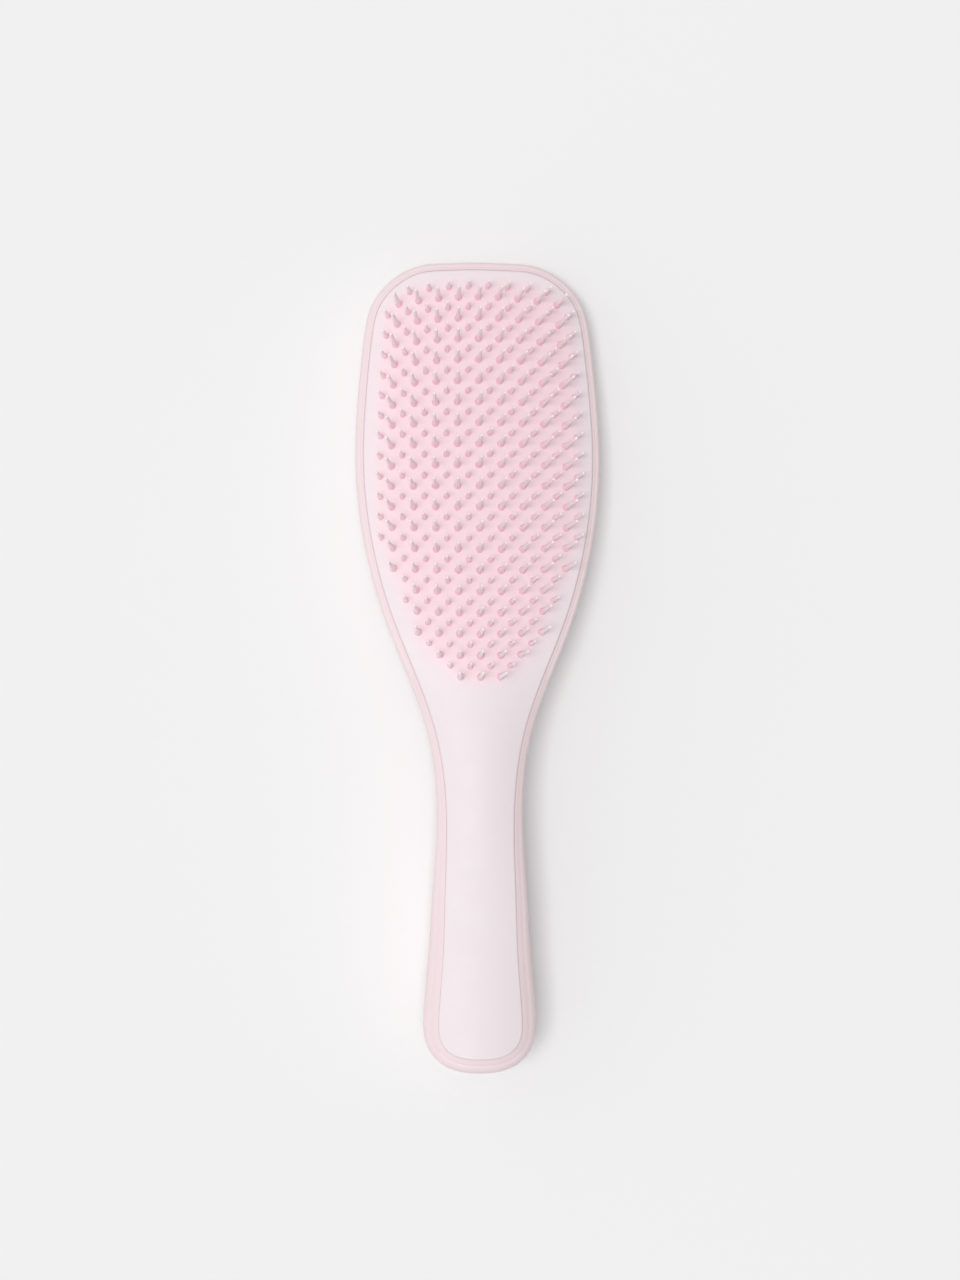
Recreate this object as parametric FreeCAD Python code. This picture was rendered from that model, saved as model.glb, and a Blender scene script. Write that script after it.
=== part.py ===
"""Long-handled detangling brush: a hollow back shell closed by a toothed face panel.

Millimetres. The brush lies on its back: +Z points out of the toothed face, +Y runs from the
handle to the head tip, and the origin is under the middle of its length, on the resting plane.
"""
import FreeCAD
import Part
import math
import os

V = FreeCAD.Vector

# Overall plan
HEAD_LENGTH = 149.0          # head tip to the narrowest place of the neck
HANDLE_LENGTH = 75.0         # narrowest place of the neck to the handle end
HEAD_WIDTH = 68.0
NECK_WIDTH = 23.8
HANDLE_WIDTH = 31.0

# Side view
TIP_HEIGHT = 12.0            # rim height at the head tip
FACE_TILT_DEG = 6.0          # the head's face drops towards its tip
HANDLE_TILT_DEG = 0.3
BEND_FROM_TIP = 132.0        # where the two slopes of the face cross
BEND_RADIUS = 300.0
CROWN_RADIUS = 170.0         # the face is crowned across its width

# Rounded back
BACK_ARCH = 7.0              # the back lifts off the resting plane at the neck
ARCH_TOP_FROM_TIP = 134.0
HEAD_BELLY_LENGTH = 64.0     # head tip to where the back starts to lift
HANDLE_BELLY_LENGTH = 34.0   # handle end to where the back starts to lift
NOSE_RISE = 1.8              # the back sweeps up to the head tip
NOSE_LENGTH = 28.0
BUTT_RISE = 8.0              # and to the handle end
BUTT_LENGTH = 30.0
HEAD_BACK_RISE = 3.6         # from the back's middle line to its edge, at the head
HANDLE_BACK_RISE = 8.0       # and at the handle
LAND_DEPTH = 0.4             # the two flats that the brush rests on are cut this deep

# Back shell
WALL = 2.0
RIM_HEAD = 1.9               # rim seen round the panel at the head
RIM_HANDLE = 4.1             # and at the handle
RIM_WIDENS_FROM_TIP = 132.0
RIM_WIDENS_OVER = 75.0
LEDGE_WIDTH = 1.8
BACK_ROUND = 5.0
FLOOR_ROUND = 3.0            # inside, where the floor meets the side walls
RIM_ROUND = 1.4

# Face panel
PANEL_THICK = 2.4
PANEL_PROUD = 0.3
PANEL_GAP = 0.2              # parting gap between the panel's edge and the rim
PANEL_ROUND = 0.6

# Pegs under the panel, and the socket posts that hold them
PEG_RADIUS = 2.0
PEG_LENGTH = 4.5
PEG_CLEARANCE = 0.1
SOCKET_WALL = 1.4
SOCKET_FLOOR_GAP = 0.5

# Teeth
LONG_TOOTH = 14.0
LONG_ROOT_RADIUS = 0.9
LONG_TIP_RADIUS = 0.4
SHORT_TOOTH = 8.0
SHORT_ROOT_RADIUS = 0.7
SHORT_TIP_RADIUS = 0.36
FIRST_ROW_FROM_TIP = 6.9
ROW_STEP = 2.93              # a short row to the long row that follows it
TOOTH_PITCH = 6.05           # between teeth of one row, where the field is widest
LEVEL_ROW_FROM_TIP = 70.0    # the row that runs straight across the head

LONG_COUNTS = (9, 9, 9, 9, 9, 9, 9, 9, 9, 9, 9, 9, 9, 9, 7, 7, 7, 5, 3)
SHORT_COUNTS = (8, 10, 10, 10, 10, 10, 10, 10, 10, 10, 10, 10, 10, 8, 8, 8, 6, 6, 4)
PITCH_FALL_SHARE = 0.105     # how much closer the teeth stand at both ends of the field
ROW_BOW_SHARE = 0.0021       # how far a row bows, for each row distance and column squared

# Half outline as (across, along) shares. The head is measured from its tip, the flare from the
# neck's half width to the head's, and the handle from the neck.
HEAD_SHARES = (
    (0.250, 0.0014), (0.456, 0.0054), (0.731, 0.0389), (0.862, 0.0785), (0.929, 0.143),
    (0.978, 0.254), (1.000, 0.366), (0.941, 0.514), (0.774, 0.662),
)
FLARE_SHARES = ((0.258, 0.811), (0.090, 0.891), (0.0, 1.0))
HANDLE_SHARES = ((0.33, 0.36), (0.66, 0.60), (1.0, 0.80))
END_SHARES = ((0.974, 0.879), (0.765, 0.953), (0.45, 0.9893))

# Peg places: across as a share of the head's half width, along as a share of the whole length
PEG_PLACE_SHARES = (
    (-0.50, 0.10), (0.50, 0.10), (-0.62, 0.28), (0.62, 0.28), (0.0, 0.28),
    (-0.36, 0.46), (0.36, 0.46), (0.0, 0.58), (0.0, 0.72), (0.0, 0.92),
)
BACK_ROUND_LIMIT_SHARE = 0.5     # the most of the tip's height that the back's rounding takes
PANEL_ROUND_LIMIT_SHARE = 0.4    # the most of the panel's thickness that its edge rounding takes
BACK_REACH_SHARE = 1.4           # the back's cross-section, drawn on past the side walls
BACK_SECTIONS = 15

LENGTH = HEAD_LENGTH + HANDLE_LENGTH
TIP_Y = LENGTH / 2
END_Y = -LENGTH / 2
HEAD_HALF = HEAD_WIDTH / 2
NECK_HALF = NECK_WIDTH / 2
HANDLE_HALF = HANDLE_WIDTH / 2
NECK_Y = TIP_Y - HEAD_LENGTH
BEND_Y = TIP_Y - BEND_FROM_TIP
CROWN_AXIS_Z = TIP_HEIGHT - CROWN_RADIUS
FACE_SLOPE = math.tan(math.radians(FACE_TILT_DEG))
HANDLE_SLOPE = math.tan(math.radians(HANDLE_TILT_DEG))
BEND_Z = TIP_HEIGHT + FACE_SLOPE * BEND_FROM_TIP
BEND_TANGENT = BEND_RADIUS * math.tan(math.radians(FACE_TILT_DEG - HANDLE_TILT_DEG) / 2)
OVERRUN = WALL                   # how far every cutting shape runs past what it cuts
TOP_Z = BEND_Z + HEAD_WIDTH      # above everything
SEAT_DROP = PANEL_THICK - PANEL_PROUD


def smooth_step(share):
    """Ease from 0 to 1 with level ends."""
    clipped = min(max(share, 0.0), 1.0)
    return clipped * clipped * (3 - 2 * clipped)


def face_height(y):
    """Height of the rim's crown line over a place along the brush, and its slope there."""
    bend_start = BEND_Y + BEND_TANGENT * math.cos(math.radians(FACE_TILT_DEG))
    bend_end = BEND_Y - BEND_TANGENT * math.cos(math.radians(HANDLE_TILT_DEG))
    if y >= bend_start:
        return TIP_HEIGHT + FACE_SLOPE * (TIP_Y - y), -FACE_SLOPE
    if y <= bend_end:
        return BEND_Z + HANDLE_SLOPE * (BEND_Y - y), -HANDLE_SLOPE
    start_z = TIP_HEIGHT + FACE_SLOPE * (TIP_Y - bend_start)
    centre_y = bend_start - BEND_RADIUS * math.sin(math.radians(FACE_TILT_DEG))
    centre_z = start_z - BEND_RADIUS * math.cos(math.radians(FACE_TILT_DEG))
    across = y - centre_y
    rise = math.sqrt(BEND_RADIUS ** 2 - across ** 2)
    return centre_z + rise, -across / rise


def rim_width(y):
    """Width of the rim round the panel, wider towards the handle end."""
    share = smooth_step((TIP_Y - RIM_WIDENS_FROM_TIP - y) / RIM_WIDENS_OVER)
    return RIM_HEAD + (RIM_HANDLE - RIM_HEAD) * share


def half_points():
    """Points of the right half of the outer outline, from the head tip to the handle end."""
    points = [V(0, TIP_Y, 0)]
    for across, along in HEAD_SHARES:
        points.append(V(across * HEAD_HALF, TIP_Y - along * HEAD_LENGTH, 0))
    for across, along in FLARE_SHARES:
        points.append(V(NECK_HALF + across * (HEAD_HALF - NECK_HALF), TIP_Y - along * HEAD_LENGTH, 0))
    for across, along in HANDLE_SHARES:
        points.append(V(NECK_HALF + across * (HANDLE_HALF - NECK_HALF), NECK_Y - along * HANDLE_LENGTH, 0))
    for across, along in END_SHARES:
        points.append(V(across * HANDLE_HALF, NECK_Y - along * HANDLE_LENGTH, 0))
    points.append(V(0, END_Y, 0))
    return points


def half_curve(points):
    """Smooth curve through the points, square to the centre line at both ends."""
    curve = Part.BSplineCurve()
    curve.interpolate(Points=points, InitialTangent=V(1, 0, 0), FinalTangent=V(-1, 0, 0), Scale=False)
    return curve


OUTER_HALF = half_curve(half_points())


def inset_half(inset):
    """The outer half outline moved inwards by a width that depends on the place along the brush."""
    moved = []
    for point in half_points():
        tangent = OUTER_HALF.tangent(OUTER_HALF.parameter(point))[0]
        inwards = V(tangent.y, -tangent.x, 0)
        moved.append(point + inwards * inset(point.y))
    return half_curve(moved)


def plan_face(right_half):
    """Flat face that a right half outline and its mirror image enclose."""
    right = right_half.toShape()
    left = right.mirror(V(0, 0, 0), V(1, 0, 0))
    return Part.Face(Part.Wire(Part.__sortEdges__([right, left])))


def plan_prism(right_half):
    """Upright prism over an outline, through the whole height of the brush."""
    face = plan_face(right_half)
    face.translate(V(0, 0, -OVERRUN))
    return face.extrude(V(0, 0, TOP_Z + OVERRUN))


def under_face(drop):
    """Everything below the crowned face, lowered by a drop."""
    start_y = TIP_Y + OVERRUN
    stop_y = END_Y - OVERRUN
    bend_start = V(0, BEND_Y + BEND_TANGENT * math.cos(math.radians(FACE_TILT_DEG)), 0)
    bend_end = V(0, BEND_Y - BEND_TANGENT * math.cos(math.radians(HANDLE_TILT_DEG)), 0)
    bend_mid = V(0, (bend_start.y + bend_end.y) / 2, 0)
    for place in (bend_start, bend_mid, bend_end):
        place.z = face_height(place.y)[0] - drop
    start = V(0, start_y, face_height(start_y)[0] - drop)
    stop = V(0, stop_y, face_height(stop_y)[0] - drop)
    low_start = V(0, start_y, -OVERRUN)
    low_stop = V(0, stop_y, -OVERRUN)
    edges = [
        Part.LineSegment(start, bend_start).toShape(),
        Part.Arc(bend_start, bend_mid, bend_end).toShape(),
        Part.LineSegment(bend_end, stop).toShape(),
        Part.LineSegment(stop, low_stop).toShape(),
        Part.LineSegment(low_stop, low_start).toShape(),
        Part.LineSegment(low_start, start).toShape(),
    ]
    section = Part.Face(Part.Wire(edges))
    half_turn = math.degrees(math.asin((HEAD_HALF + OVERRUN) / (CROWN_RADIUS - TIP_HEIGHT)))
    axis_point = V(0, 0, CROWN_AXIS_Z)
    section.rotate(axis_point, V(0, 1, 0), -half_turn)
    return section.revolve(axis_point, V(0, 1, 0), 2 * half_turn)


def back_height(y):
    """Height of the back's middle line over the resting plane, before the flats are cut."""
    from_tip = TIP_Y - y
    from_end = y - END_Y
    nose = NOSE_RISE * max(0, 1 - from_tip / NOSE_LENGTH) ** 2
    butt = BUTT_RISE * max(0, 1 - from_end / BUTT_LENGTH) ** 2
    head_lift = smooth_step((from_tip - HEAD_BELLY_LENGTH) / (ARCH_TOP_FROM_TIP - HEAD_BELLY_LENGTH))
    end_run = LENGTH - ARCH_TOP_FROM_TIP - HANDLE_BELLY_LENGTH
    end_lift = smooth_step((from_end - HANDLE_BELLY_LENGTH) / end_run)
    return nose + butt + BACK_ARCH * head_lift * end_lift - LAND_DEPTH


def back_arc(y):
    """Half chord and sagitta of the back's cross-section, drawn on past the side walls."""
    flare = smooth_step((TIP_Y - y - HEAD_BELLY_LENGTH) / (HEAD_LENGTH - HEAD_BELLY_LENGTH))
    half_width = HEAD_HALF + (HANDLE_HALF - HEAD_HALF) * flare
    rise = HEAD_BACK_RISE + (HANDLE_BACK_RISE - HEAD_BACK_RISE) * flare
    return BACK_REACH_SHARE * half_width, BACK_REACH_SHARE ** 2 * rise


def back_surface(place):
    """Height of the rounded back over a place in plan."""
    reach, sagitta = back_arc(place.y)
    radius = (reach ** 2 + sagitta ** 2) / (2 * sagitta)
    return max(0, back_height(place.y) + radius - math.sqrt(radius ** 2 - place.x ** 2))


def back_section(y, lift):
    """Rounded cross-section of everything above the back, raised by a lift."""
    reach, sagitta = back_arc(y)
    middle = V(0, y, back_height(y) + lift)
    left = V(-reach, y, middle.z + sagitta)
    right = V(reach, y, middle.z + sagitta)
    high_left = V(-reach, y, TOP_Z)
    high_right = V(reach, y, TOP_Z)
    return Part.Wire([
        Part.Arc(left, middle, right).toShape(),
        Part.LineSegment(right, high_right).toShape(),
        Part.LineSegment(high_right, high_left).toShape(),
        Part.LineSegment(high_left, left).toShape(),
    ])


def over_back(lift):
    """Everything above the rounded back and its two flats, raised by a lift."""
    start_y = TIP_Y + OVERRUN
    step = (LENGTH + 2 * OVERRUN) / (BACK_SECTIONS - 1)
    sections = [back_section(start_y - index * step, lift) for index in range(BACK_SECTIONS)]
    rounded = Part.makeLoft(sections, True)
    corner = V(-2 * HEAD_WIDTH, -LENGTH, lift)
    return rounded.common(Part.makeBox(4 * HEAD_WIDTH, 2 * LENGTH, TOP_Z, corner))


def crowned_height(x, y, drop):
    """Height of the crowned face, lowered by a drop, over a place in plan."""
    radius = face_height(y)[0] - drop - CROWN_AXIS_Z
    return CROWN_AXIS_Z + math.sqrt(radius ** 2 - x ** 2)


def outline_edges(solid, outline, drop):
    """Edges of the wall on a half outline: those on the face lowered by a drop, and the others."""
    on_face = []
    others = []
    for edge in solid.Edges:
        middle = edge.valueAt((edge.FirstParameter + edge.LastParameter) / 2)
        plan = V(abs(middle.x), middle.y, 0)
        from_wall = plan.distanceToPoint(outline.value(outline.parameter(plan)))
        runs_across = edge.BoundBox.YLength < WALL
        if runs_across or from_wall > PANEL_GAP / 2:
            continue
        below_face = crowned_height(middle.x, middle.y, drop) - middle.z
        (others if below_face > PANEL_GAP else on_face).append(edge)
    return on_face, others


def socket_places():
    """Plan places of the pegs and their sockets."""
    return [V(across * HEAD_HALF, TIP_Y - along * LENGTH, 0) for across, along in PEG_PLACE_SHARES]


def peg_end(place):
    """Height of a peg's free end."""
    return crowned_height(place.x, place.y, SEAT_DROP) - PEG_LENGTH


def upright(radius, place, low):
    """Upright cylinder from a height to above everything."""
    return Part.makeCylinder(radius, TOP_Z, V(place.x, place.y, low))


def make_back_shell():
    """Hollow tray with a rounded back and rim, a ledge for the panel and socket posts."""
    body = plan_prism(OUTER_HALF).common(over_back(0)).common(under_face(0))
    seat = under_face(SEAT_DROP)
    recess_half = inset_half(lambda y: rim_width(y) - PANEL_GAP)
    recess = plan_prism(recess_half).cut(seat)
    ledge_half = inset_half(lambda y: rim_width(y) + LEDGE_WIDTH)
    cavity = plan_prism(ledge_half).common(over_back(WALL))
    shell = body.cut(recess).cut(cavity).Solids[0]
    shell = shell.makeFillet(FLOOR_ROUND, outline_edges(shell, ledge_half, SEAT_DROP)[1])

    bore_radius = PEG_RADIUS + PEG_CLEARANCE
    posts = []
    bores = []
    for place in socket_places():
        posts.append(upright(bore_radius + SOCKET_WALL, place, back_surface(place) + WALL / 2))
        bores.append(upright(bore_radius, place, peg_end(place) - SOCKET_FLOOR_GAP))
    shell = shell.fuse(Part.makeCompound(posts).common(seat)).cut(Part.makeCompound(bores)).Solids[0]

    back_round = min(BACK_ROUND, BACK_ROUND_LIMIT_SHARE * TIP_HEIGHT)
    shell = shell.makeFillet(back_round, outline_edges(shell, OUTER_HALF, 0)[1])
    return shell.makeFillet(RIM_ROUND, outline_edges(shell, OUTER_HALF, 0)[0])


def make_tooth_panel():
    """Crowned face panel with a rounded edge, and pegs under it."""
    panel_half = inset_half(rim_width)
    panel = plan_prism(panel_half)
    panel = panel.common(under_face(-PANEL_PROUD)).cut(under_face(SEAT_DROP)).Solids[0]
    edge_round = min(PANEL_ROUND, PANEL_ROUND_LIMIT_SHARE * PANEL_THICK)
    panel = panel.makeFillet(edge_round, outline_edges(panel, panel_half, -PANEL_PROUD)[0])
    pegs = [upright(PEG_RADIUS, place, peg_end(place)) for place in socket_places()]
    return panel.fuse(Part.makeCompound(pegs).common(under_face(SEAT_DROP - PANEL_THICK / 2)))


def make_tooth(length, root_radius, tip_radius):
    """Slim cone that ends in a tangent round tip, standing on the origin."""
    centre_z = length - tip_radius
    reach = math.hypot(root_radius, centre_z)
    taper = math.acos(tip_radius / reach) - math.atan2(centre_z, root_radius)
    shoulder = V(tip_radius * math.cos(taper), 0, centre_z + tip_radius * math.sin(taper))
    bulge = (taper + math.pi / 2) / 2
    on_tip = V(tip_radius * math.cos(bulge), 0, centre_z + tip_radius * math.sin(bulge))
    root = V(root_radius, 0, 0)
    tip = V(0, 0, length)
    edges = [
        Part.LineSegment(V(0, 0, 0), root).toShape(),
        Part.LineSegment(root, shoulder).toShape(),
        Part.Arc(shoulder, on_tip, tip).toShape(),
        Part.LineSegment(tip, V(0, 0, 0)).toShape(),
    ]
    section = Part.Face(Part.Wire(edges))
    return section.revolve(V(0, 0, 0), V(0, 0, 1), 360)


def tooth_placement(place):
    """Foot on the panel's outer face over a place in plan, standing square to the face."""
    foot = V(place.x, place.y, crowned_height(place.x, place.y, -PANEL_PROUD))
    lean = math.atan2(foot.x, foot.z - CROWN_AXIS_Z)
    square = V(math.sin(lean), -face_height(foot.y)[1], math.cos(lean))
    return FreeCAD.Placement(foot, FreeCAD.Rotation(V(0, 0, 1), square))


def tooth_field():
    """Flat of the panel where a whole tooth root can stand, seen in plan."""
    return plan_face(inset_half(lambda y: rim_width(y) + PANEL_ROUND + LONG_ROOT_RADIUS))


def make_tooth_row(tooth, count, row_y, field):
    """One bowed row of teeth, centred on the brush, as separate solids within a field."""
    rows = len(LONG_COUNTS) + len(SHORT_COUNTS)
    field_half = ROW_STEP * (rows - 1) / 2
    field_middle = TIP_Y - FIRST_ROW_FROM_TIP - field_half
    from_middle = (row_y - field_middle) / field_half
    pitch = TOOTH_PITCH * (1 - PITCH_FALL_SHARE * from_middle ** 2)
    level_y = TIP_Y - LEVEL_ROW_FROM_TIP
    teeth = []
    for index in range(count):
        column = index - (count - 1) / 2
        bow = ROW_BOW_SHARE * (row_y - level_y) * column ** 2
        place = V(column * pitch, row_y - bow, 0)
        if field.isInside(place, PANEL_GAP, True):
            copy = tooth.copy()
            copy.Placement = tooth_placement(place)
            teeth.append(copy)
    return Part.makeCompound(teeth)


def main():
    """Build every piece and write it to its own file."""
    os.makedirs("parts", exist_ok=True)
    make_back_shell().exportStep("parts/back_shell.step")
    make_tooth_panel().exportStep("parts/tooth_panel.step")
    first_row = TIP_Y - FIRST_ROW_FROM_TIP
    field = tooth_field()
    short_tooth = make_tooth(SHORT_TOOTH, SHORT_ROOT_RADIUS, SHORT_TIP_RADIUS)
    for index, count in enumerate(SHORT_COUNTS):
        row = make_tooth_row(short_tooth, count, first_row - 2 * index * ROW_STEP, field)
        row.exportStep("parts/short_tooth_row_%02d.step" % (index + 1))
    long_tooth = make_tooth(LONG_TOOTH, LONG_ROOT_RADIUS, LONG_TIP_RADIUS)
    for index, count in enumerate(LONG_COUNTS):
        row = make_tooth_row(long_tooth, count, first_row - (2 * index + 1) * ROW_STEP, field)
        row.exportStep("parts/long_tooth_row_%02d.step" % (index + 1))


main()
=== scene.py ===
"""Looks of a long-handled detangling brush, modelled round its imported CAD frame.

Sizes of the brush are kept in millimetres and scaled to Blender's metres when a mesh is made. The
brush lies on its back: +Z points out of the toothed face, +Y runs from the handle to the head tip.
"""

import logging
import math
from collections.abc import Callable
from dataclasses import dataclass, field
from enum import Enum
from typing import ClassVar

import bmesh
import bpy
import numpy as np
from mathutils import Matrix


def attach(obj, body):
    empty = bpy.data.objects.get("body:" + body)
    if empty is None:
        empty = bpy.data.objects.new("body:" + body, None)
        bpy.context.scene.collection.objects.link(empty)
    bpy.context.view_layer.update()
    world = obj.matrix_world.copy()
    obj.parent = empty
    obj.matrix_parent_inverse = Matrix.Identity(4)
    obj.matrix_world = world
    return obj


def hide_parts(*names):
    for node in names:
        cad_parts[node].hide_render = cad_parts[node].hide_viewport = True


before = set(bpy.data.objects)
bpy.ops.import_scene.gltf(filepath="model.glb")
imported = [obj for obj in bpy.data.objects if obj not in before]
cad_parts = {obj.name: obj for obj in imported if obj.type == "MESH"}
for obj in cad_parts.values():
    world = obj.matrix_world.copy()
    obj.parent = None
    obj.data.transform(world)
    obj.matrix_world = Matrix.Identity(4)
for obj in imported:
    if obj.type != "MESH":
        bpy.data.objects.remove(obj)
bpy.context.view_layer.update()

LOG = logging.getLogger("brush")
MM = 0.001
BODY = "root"
SHARP_ANGLE = math.radians(40.0)

Colour = tuple[float, float, float]
Place = tuple[float, float, float]
Span = tuple[float, float]
Shares = tuple[float, ...]
PointShares = tuple[tuple[float, float], ...]
Faces = list[tuple[int, ...]]
Height = Callable[[np.ndarray, np.ndarray], np.ndarray]


class Tier(Enum):
    """The two lengths of teeth, with the words that start their node names."""

    LONG = "long_tooth_row"
    SHORT = "short_tooth_row"


class Slot(Enum):
    """The record's material slots."""

    SHELL = "shell"
    PANEL = "panel"
    TEETH = "teeth"


class Shading(Enum):
    """What the share of a finish's second colour follows: nothing, or a mesh attribute of painted shade."""

    EVEN = ""
    # Painted shade on the panel: pinker among the teeth and along the panel's edge.
    PANEL_PAINTED_SHADE = "panel_painted_shade"
    # Painted shade up each tooth: deep pink at the root, paler from pale_from_share up.
    TOOTH_RISE = "tooth_rise"


def smooth_step(share: np.ndarray | float) -> np.ndarray:
    """Ease from 0 to 1 with level ends.

    Args:
        share: Place between the two ends, clipped to 0 and 1.

    Returns:
        The eased share.
    """
    clipped = np.clip(share, 0.0, 1.0)
    return clipped * clipped * (3.0 - 2.0 * clipped)


@dataclass(frozen=True)
class BrushForm:
    """Sizes of the brush in millimetres, and the surfaces that follow from them."""

    head_length: float = 149.0
    handle_length: float = 75.0
    head_half: float = 34.0
    neck_half: float = 11.9
    handle_half: float = 15.5
    head_shares: PointShares = (
        (0.250, 0.0014), (0.456, 0.0054), (0.731, 0.0389), (0.862, 0.0785), (0.929, 0.143),
        (0.978, 0.254), (1.000, 0.366), (0.941, 0.514), (0.774, 0.662),
    )
    flare_shares: PointShares = ((0.258, 0.811), (0.090, 0.891), (0.0, 1.0))
    handle_shares: PointShares = ((0.33, 0.36), (0.66, 0.60), (1.0, 0.80))
    end_shares: PointShares = ((0.974, 0.879), (0.765, 0.953), (0.45, 0.9893))
    tip_height: float = 12.0
    face_tilt: float = math.radians(6.0)
    handle_tilt: float = math.radians(0.3)
    bend_from_tip: float = 132.0
    bend_radius: float = 300.0
    head_crown: float = 170.0
    neck_crown: float = 30.0
    handle_crown: float = 45.0
    crown_tightens_from_tip: float = 104.0
    crown_tightens_over: float = 36.0
    crown_eases_from_tip: float = 145.0
    crown_eases_over: float = 40.0
    back_arch: float = 7.0
    arch_top_from_tip: float = 134.0
    head_belly_length: float = 64.0
    handle_belly_length: float = 34.0
    nose_rise: float = 1.8
    nose_length: float = 28.0
    butt_rise: float = 8.0
    butt_length: float = 30.0
    head_back_rise: float = 3.6
    handle_back_rise: float = 8.0
    back_reach_share: float = 1.4
    land_depth: float = 0.4
    land_blend: float = 0.12
    rim_head: float = 2.1
    rim_handle: float = 4.0
    rim_widens_from_tip: float = 132.0
    rim_widens_over: float = 75.0
    panel_thick: float = 2.4
    panel_proud: float = 0.3

    @property
    def length(self) -> float:
        """Whole length of the brush."""
        return self.head_length + self.handle_length

    @property
    def tip_y(self) -> float:
        """Place of the head tip along the brush."""
        return self.length / 2

    @property
    def seat_drop(self) -> float:
        """Depth of the panel's seat under the rim."""
        return self.panel_thick - self.panel_proud

    def outline_points(self) -> np.ndarray:
        """Points of the right half outline.

        Returns:
            Plan points from the head tip to the handle end.
        """
        tip, neck = self.tip_y, self.tip_y - self.head_length
        flare, swell = self.head_half - self.neck_half, self.handle_half - self.neck_half
        rows = [(0.0, tip)]
        rows += [(a * self.head_half, tip - b * self.head_length) for a, b in self.head_shares]
        rows += [(self.neck_half + a * flare, tip - b * self.head_length) for a, b in self.flare_shares]
        rows += [(self.neck_half + a * swell, neck - b * self.handle_length) for a, b in self.handle_shares]
        rows += [(a * self.handle_half, neck - b * self.handle_length) for a, b in self.end_shares]
        rows.append((0.0, -self.length / 2))
        return np.array(rows)

    def face_height(self, y: np.ndarray) -> np.ndarray:
        """Height of the rim's crown line: two slopes joined by an arc.

        Args:
            y: Places along the brush.

        Returns:
            Heights over the resting plane.
        """
        bend_y = self.tip_y - self.bend_from_tip
        bend_z = self.tip_height + math.tan(self.face_tilt) * self.bend_from_tip
        tangent = self.bend_radius * math.tan((self.face_tilt - self.handle_tilt) / 2)
        start = bend_y + tangent * math.cos(self.face_tilt)
        stop = bend_y - tangent * math.cos(self.handle_tilt)
        on_head = self.tip_height + math.tan(self.face_tilt) * (self.tip_y - y)
        on_handle = bend_z + math.tan(self.handle_tilt) * (bend_y - y)
        centre_y = start - self.bend_radius * math.sin(self.face_tilt)
        start_z = self.tip_height + math.tan(self.face_tilt) * (self.tip_y - start)
        centre_z = start_z - self.bend_radius * math.cos(self.face_tilt)
        across = np.clip(y - centre_y, -self.bend_radius, self.bend_radius)
        on_bend = centre_z + np.sqrt(self.bend_radius ** 2 - across ** 2)
        return np.where(y >= start, on_head, np.where(y <= stop, on_handle, on_bend))

    def face(self, x: np.ndarray, y: np.ndarray, drop: float | np.ndarray = 0.0) -> np.ndarray:
        """Height of the face, whose crown is tightest at the neck.

        Args:
            x: Places across the brush.
            y: Places along the brush.
            drop: How far the face is lowered.

        Returns:
            Heights over the resting plane.
        """
        height, from_tip = self.face_height(y), self.tip_y - y
        tight = smooth_step((from_tip - self.crown_tightens_from_tip) / self.crown_tightens_over)
        eased = smooth_step((from_tip - self.crown_eases_from_tip) / self.crown_eases_over)
        bend = (1 - tight) / (self.head_crown + height - self.tip_height)
        bend = bend + tight * ((1 - eased) / self.neck_crown + eased / self.handle_crown)
        radius = 1 / bend
        return height - drop - radius + np.sqrt(radius ** 2 - x ** 2)

    def panel_top(self, x: np.ndarray, y: np.ndarray) -> np.ndarray:
        """Height of the panel's outer face."""
        return self.face(x, y, -self.panel_proud)

    def seat(self, x: np.ndarray, y: np.ndarray) -> np.ndarray:
        """Height of the seat that the panel lies on."""
        return self.face(x, y, self.seat_drop)

    def along(self, y: np.ndarray, at_head: float, at_handle: float) -> np.ndarray:
        """A size that changes from its value at the head to its value at the handle end.

        Args:
            y: Places along the brush.
            at_head: The size at the head.
            at_handle: The size at the handle end.

        Returns:
            The size at each place.
        """
        share = smooth_step((self.tip_y - self.rim_widens_from_tip - y) / self.rim_widens_over)
        return at_head + (at_handle - at_head) * share

    def rim_width(self, y: np.ndarray) -> np.ndarray:
        """Width of the rim round the panel, wider towards the handle end."""
        return self.along(y, self.rim_head, self.rim_handle)

    def back(self, x: np.ndarray, y: np.ndarray) -> np.ndarray:
        """Height of the rounded back, eased into its two resting flats.

        Args:
            x: Places across the brush.
            y: Places along the brush.

        Returns:
            Heights over the resting plane.
        """
        from_tip, from_end = self.tip_y - y, y + self.length / 2
        nose = self.nose_rise * np.maximum(0, 1 - from_tip / self.nose_length) ** 2
        butt = self.butt_rise * np.maximum(0, 1 - from_end / self.butt_length) ** 2
        past_belly = from_tip - self.head_belly_length
        end_run = self.length - self.arch_top_from_tip - self.handle_belly_length
        lift = smooth_step(past_belly / (self.arch_top_from_tip - self.head_belly_length))
        lift = lift * smooth_step((from_end - self.handle_belly_length) / end_run)
        flare = smooth_step(past_belly / (self.head_length - self.head_belly_length))
        reach = self.back_reach_share * (self.head_half + (self.handle_half - self.head_half) * flare)
        rise = self.head_back_rise + (self.handle_back_rise - self.head_back_rise) * flare
        sagitta = self.back_reach_share ** 2 * rise
        radius = (reach ** 2 + sagitta ** 2) / (2 * sagitta)
        height = nose + butt + self.back_arch * lift - self.land_depth
        height = height + radius - np.sqrt(np.maximum(radius ** 2 - x ** 2, 0))
        return (height + np.sqrt(height ** 2 + self.land_blend ** 2)) / 2


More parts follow.
